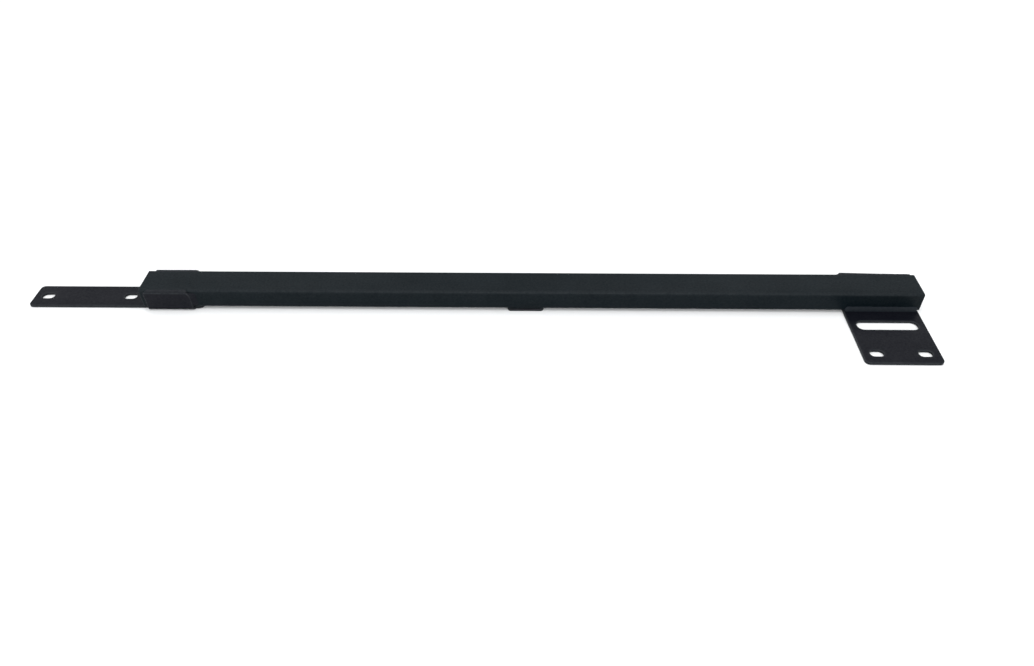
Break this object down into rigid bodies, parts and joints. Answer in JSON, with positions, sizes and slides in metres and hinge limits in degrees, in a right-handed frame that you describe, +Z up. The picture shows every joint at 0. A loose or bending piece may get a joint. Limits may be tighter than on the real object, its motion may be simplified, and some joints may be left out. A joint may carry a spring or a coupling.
{
  "type": "bed cargo bar",
  "caption": "Straight rectangular steel tube bar with a slotted tongue at one end and a slotted side plate at the other, bolted along the side of a cargo bed.",
  "frame": {"origin": "under the middle of the bounding box, on the surface that the undersides of both brackets and the centre pad lie on", "axes": "+X along the bar from the tongue to the side plate, +Y away from the side plate's free edge, +Z up, from the brackets' underside to the tube's top face"},
  "size_m": [1.0854, 0.1334, 0.0291],
  "materials": {
    "powder_coat": "satin black powder coat with a fine texture",
    "coated_weld": "rippled weld bead under the same satin black powder coat",
    "plug_plastic": "matte black moulded plastic"
  },
  "bodies": {
    "root": {"main_tube": "powder_coat", "front_bracket": "powder_coat", "rear_bracket": "powder_coat", "centre_pad": "powder_coat", "front_end_plug": "plug_plastic", "rear_end_plug": "plug_plastic", "front_weld_top_plate_side": "coated_weld", "front_weld_top_outer_side": "coated_weld", "front_weld_end_plate_side": "coated_weld", "front_weld_end_outer_side": "coated_weld", "front_weld_under": "coated_weld", "rear_weld_top": "coated_weld", "rear_weld_end": "coated_weld", "rear_weld_plate": "coated_weld", "rear_weld_under": "coated_weld", "pad_weld_front": "coated_weld", "pad_weld_rear": "coated_weld"}
  },
  "joints": []
}
